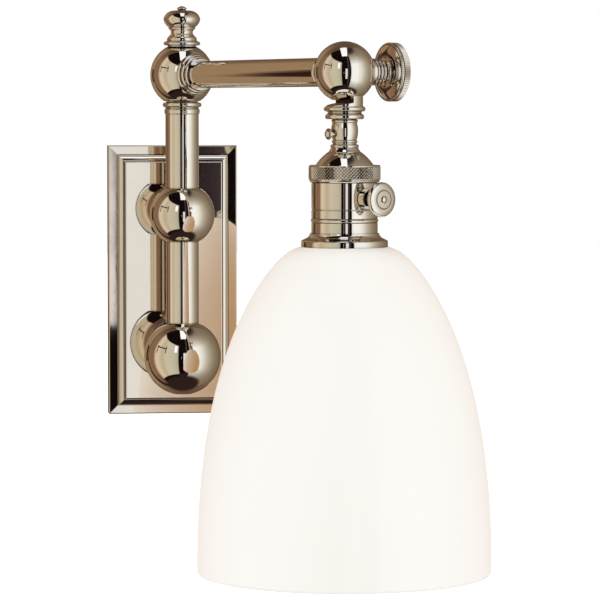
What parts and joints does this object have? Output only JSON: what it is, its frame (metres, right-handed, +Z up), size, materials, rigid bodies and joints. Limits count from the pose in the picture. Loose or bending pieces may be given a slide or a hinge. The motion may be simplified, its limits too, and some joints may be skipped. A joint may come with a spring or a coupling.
{
  "type": "swing arm wall sconce",
  "caption": "Wall light with a swinging arm, a tilting opal glass bell shade on a ball swivel, a turn-knob lamp socket and a rectangular moulded backplate.",
  "frame": {"origin": "centre of the backplate's rim on the wall, which is also the middle of the strap's slots", "axes": "+X to the right along the wall, +Y into the wall, +Z up; the light stands out along -Y"},
  "size_m": [0.1973, 0.3498, 0.3211],
  "materials": {
    "nickel_plated_brass": "polished nickel plate on brass, warm",
    "plain_brass": "turned, unplated",
    "zinc_plated_steel": "zinc plated, satin",
    "green_screw": "green dyed zinc",
    "fibre": "vulcanised fibre",
    "insulation": "waxed card",
    "phenolic": "moulded phenolic",
    "aluminium_cap": "bright",
    "opal_glass": "gloss opal white, cased",
    "bulb_envelope": "soft white frosted"
  },
  "bodies": {
    "wall_mount": {"backplate": "nickel_plated_brass", "mounting_strap": "zinc_plated_steel", "ground_screw": "green_screw", "cover_screws": "nickel_plated_brass", "upper_post": "nickel_plated_brass", "lower_post": "nickel_plated_brass", "post_nipples": "plain_brass", "post_washers": "zinc_plated_steel", "post_locknuts": "plain_brass", "upper_ball": "nickel_plated_brass", "lower_ball": "nickel_plated_brass", "pillar_tube": "nickel_plated_brass", "pillar_collar": "nickel_plated_brass", "pivot_washer": "fibre", "pivot_stud": "plain_brass", "friction_washer": "zinc_plated_steel", "finial": "nickel_plated_brass"},
    "swing_arm": {"pivot_ball": "nickel_plated_brass", "arm_root_collar": "nickel_plated_brass", "arm_tube": "nickel_plated_brass", "arm_end_collar": "nickel_plated_brass", "knuckle_arm_half": "nickel_plated_brass"},
    "lamp_head": {"knuckle_shade_half": "nickel_plated_brass", "tilt_washer": "nickel_plated_brass", "socket_cap": "nickel_plated_brass", "cap_set_screw": "nickel_plated_brass", "knurled_ring": "nickel_plated_brass", "socket_shell": "nickel_plated_brass", "shell_liner": "insulation", "socket_body": "phenolic", "terminal_screws": "plain_brass", "screw_shell": "plain_brass", "centre_contact": "plain_brass", "switch_bushing": "nickel_plated_brass", "shade_holder": "nickel_plated_brass", "glass_shade": "opal_glass", "shade_ring": "nickel_plated_brass", "bulb_base": "aluminium_cap", "bulb_glass": "bulb_envelope"},
    "thumbscrew": {"tilt_knob": "nickel_plated_brass", "tilt_bolt": "plain_brass"},
    "switch": {"switch_spindle": "plain_brass", "switch_knob": "nickel_plated_brass"}
  },
  "joints": [
    {"name": "arm_swing", "type": "hinge", "parent": "wall_mount", "child": "swing_arm", "pos_m": [0, -0.082, 0.128], "axis": [0, 0, 1], "range_deg": [-101.7, 58.3]},
    {"name": "shade_tilt", "type": "hinge", "parent": "swing_arm", "child": "lamp_head", "pos_m": [0.0746, -0.26757, 0.128], "axis": [-0.9278, -0.373, 0], "range_deg": [-20, 90]},
    {"name": "thumbscrew_turn", "type": "hinge", "parent": "swing_arm", "child": "thumbscrew", "pos_m": [0.0746, -0.26757, 0.128], "axis": [0.9278, 0.373, 0], "continuous": true},
    {"name": "switch_turn", "type": "hinge", "parent": "lamp_head", "child": "switch", "pos_m": [0.0746, -0.26757, 0.0579], "axis": [0.5299, -0.848, 0], "continuous": true}
  ]
}
